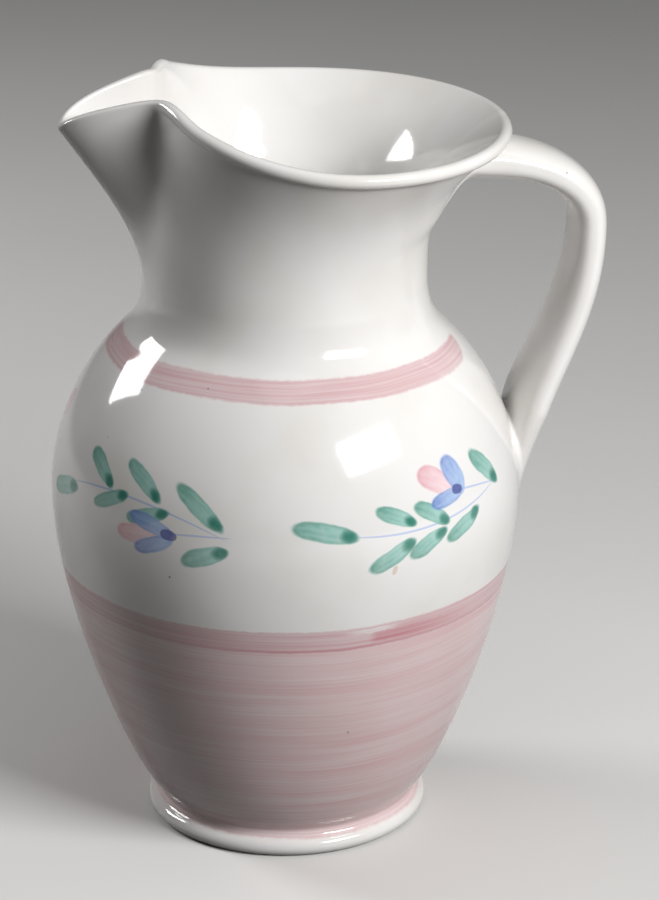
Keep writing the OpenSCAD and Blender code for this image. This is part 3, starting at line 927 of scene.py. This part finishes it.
def lutePiece(name, uFree, uDeep, line, reach, node):
    # Each line along the strap runs to the point where it meets the wall. Its last reach becomes a quadratic
    # curve whose pull is that point and which ends along the wall, so that the clay looks pressed on
    uHit = meetWall(uFree, uDeep, line)
    meeting = strap(uHit, turns)
    stepU = 0.002
    speed = np.linalg.norm(strap(uHit + stepU, turns) - strap(uHit - stepU, turns), axis=-1) / (2 * stepU)
    shorter = np.minimum(reach, luteShape["most"] * np.abs(uHit - uFree) * speed)
    uBend = uHit + np.sign(uFree - uDeep) * shorter / speed
    share = np.linspace(0, 1, luteShape["straightRows"])[None]
    straight = strap(uFree + (uBend - uFree) * share, turns)
    square = wallNormal(line, meeting)
    run = strapRun(uHit)
    onward = np.stack([run[..., 0], 0 * run[..., 0], run[..., 1]], -1) * np.sign(uDeep - uFree)
    lean = strapNormal(uHit, turns)
    lean = lean + luteShape["outward"] * np.maximum(0, -np.cos(turns))[..., None] * onward
    away = unit(lean - (lean * square).sum(-1, keepdims=True) * square)
    foot = onWall(meeting + away * shorter[..., None], line)
    k = np.linspace(0, 1, luteShape["bendRows"])[None, 1:, None]
    bend = straight[:, -1:] * (1 - k) ** 2 + 2 * meeting * k * (1 - k) + foot * k * k
    sunk = foot - wallNormal(line, foot) * luteShape["sink"]
    grid = np.concatenate([straight, bend, sunk], 1)
    normals = unit(np.cross(slope(grid, 0, True), slope(grid, 1, False)))
    normals[:, 0] = strapNormal(uFree + 0 * turns, turns)[:, 0]
    normals[:, -2:] = wallNormal(line, foot)
    if uDeep < uFree:  # the head's rows run against the path, so they are turned round
        grid, normals = grid[:, ::-1], -normals[:, ::-1]
        normals[:, :2] = -normals[:, :2]
        normals[:, -1] = -normals[:, -1]
    tubePiece(name, grid, normals, node)


lutePiece("headLute", headEnd, luteShape["headDeep"], flareLine, luteShape["headReach"], "head_lute")
lutePiece("tailLute", tailStart, luteShape["tailDeep"], outer, luteShape["tailReach"], "tail_lute")

# Studio: pale floor, a key box, a rear box and a large box overhead, in a dim room. Lengths here are metres
studio = {
    "floor": shade(226, 225, 223),
    "floorBounce": shade(54, 53, 52),  # what the floor throws back at the jug
    "floorHalf": 6.0, "floorGrain": 6.0, "floorRough": 0.5, "floorSpread": 0.2,
    "room": 0.03, "target": (0.0, 0.0, 0.14),
}
boxes = {
    "keyBox": {"turn": -51, "lift": 30, "roll": 0, "power": 19.0, "away": 1.3, "long": 0.62, "short": 0.3},
    "rearBox": {"turn": 146, "lift": 27, "roll": 53, "power": 7.2, "away": 1.3, "long": 0.43, "short": 0.34},
    "topBox": {"turn": -60, "lift": 84, "roll": 0, "power": 3.2, "away": 1.6, "long": 1.3, "short": 1.1},
}
view = {
    "lens": 143.2, "sensor": 36.0, "clip": 30.0,
    "place": (-0.17424, -1.2032, 0.60228), "tilt": 69.15, "pan": -9.0,
}
scene = bpy.context.scene

floorMix = Mixture("paleFloor")
floorPlace = floorMix.node("ShaderNodeTexCoord", None, None, "Object")
seen = floorMix.node("ShaderNodeLightPath", None, None, "Is Camera Ray")
seen = seen.atLeast(seen.output("Is Glossy Ray")).atLeast(seen.output("Is Transmission Ray"))
floorColour = floorMix.blend(seen, studio["floorBounce"], studio["floor"])
floorMix.feed(floorMix.shader.inputs["Base Color"], floorColour)
floorNoise = floorMix.noise(floorPlace, studio["floorGrain"], 3.0)
floorRough = floorNoise * studio["floorSpread"] + studio["floorRough"]
floorMix.feed(floorMix.shader.inputs["Roughness"], floorRough)
floorMesh = bpy.data.meshes.new("paleFloor")
side = studio["floorHalf"]
floorCorners = [(-side, -side, 0), (side, -side, 0), (side, side, 0), (-side, side, 0)]
floorMesh.from_pydata(floorCorners, [], [(0, 1, 2, 3)])
floorMesh.materials.append(floorMix.material)
floor = bpy.data.objects.new("paleFloor", floorMesh)
scene.collection.objects.link(floor)


def softbox(name, box):  # a rectangle of light that looks at the jug from a turn and a lift, with a roll
    lamp = bpy.data.lights.new(name, "AREA")
    lamp.shape = "RECTANGLE"
    lamp.size, lamp.size_y = box["long"], box["short"]
    lamp.energy = box["power"]
    a, e = math.radians(box["turn"]), math.radians(box["lift"])
    way = np.array([math.cos(a) * math.cos(e), math.sin(a) * math.cos(e), math.sin(e)])
    holder = bpy.data.objects.new(name, lamp)
    holder.location = (np.array(studio["target"]) + way * box["away"]).tolist()
    facing = Euler((math.radians(90) - e, 0, a + math.pi / 2)).to_matrix()
    holder.rotation_euler = (facing @ Matrix.Rotation(math.radians(box["roll"]), 3, "Z")).to_euler()
    scene.collection.objects.link(holder)


for name, box in boxes.items():
    softbox(name, box)
world = bpy.data.worlds.new("dimRoom")
world.use_nodes = True
background = world.node_tree.nodes["Background"]
background.inputs["Color"].default_value = (1.0, 1.0, 1.0, 1.0)
background.inputs["Strength"].default_value = studio["room"]
scene.world = world
print("studio lit")

camera = bpy.data.cameras.new("view")
camera.lens = view["lens"]
camera.sensor_width = view["sensor"]
camera.clip_end = view["clip"]
eye = bpy.data.objects.new("view", camera)
eye.location = view["place"]
eye.rotation_euler = (math.radians(view["tilt"]), 0, math.radians(view["pan"]))
scene.collection.objects.link(eye)
scene.camera = eye
scene.view_settings.view_transform = "Standard"
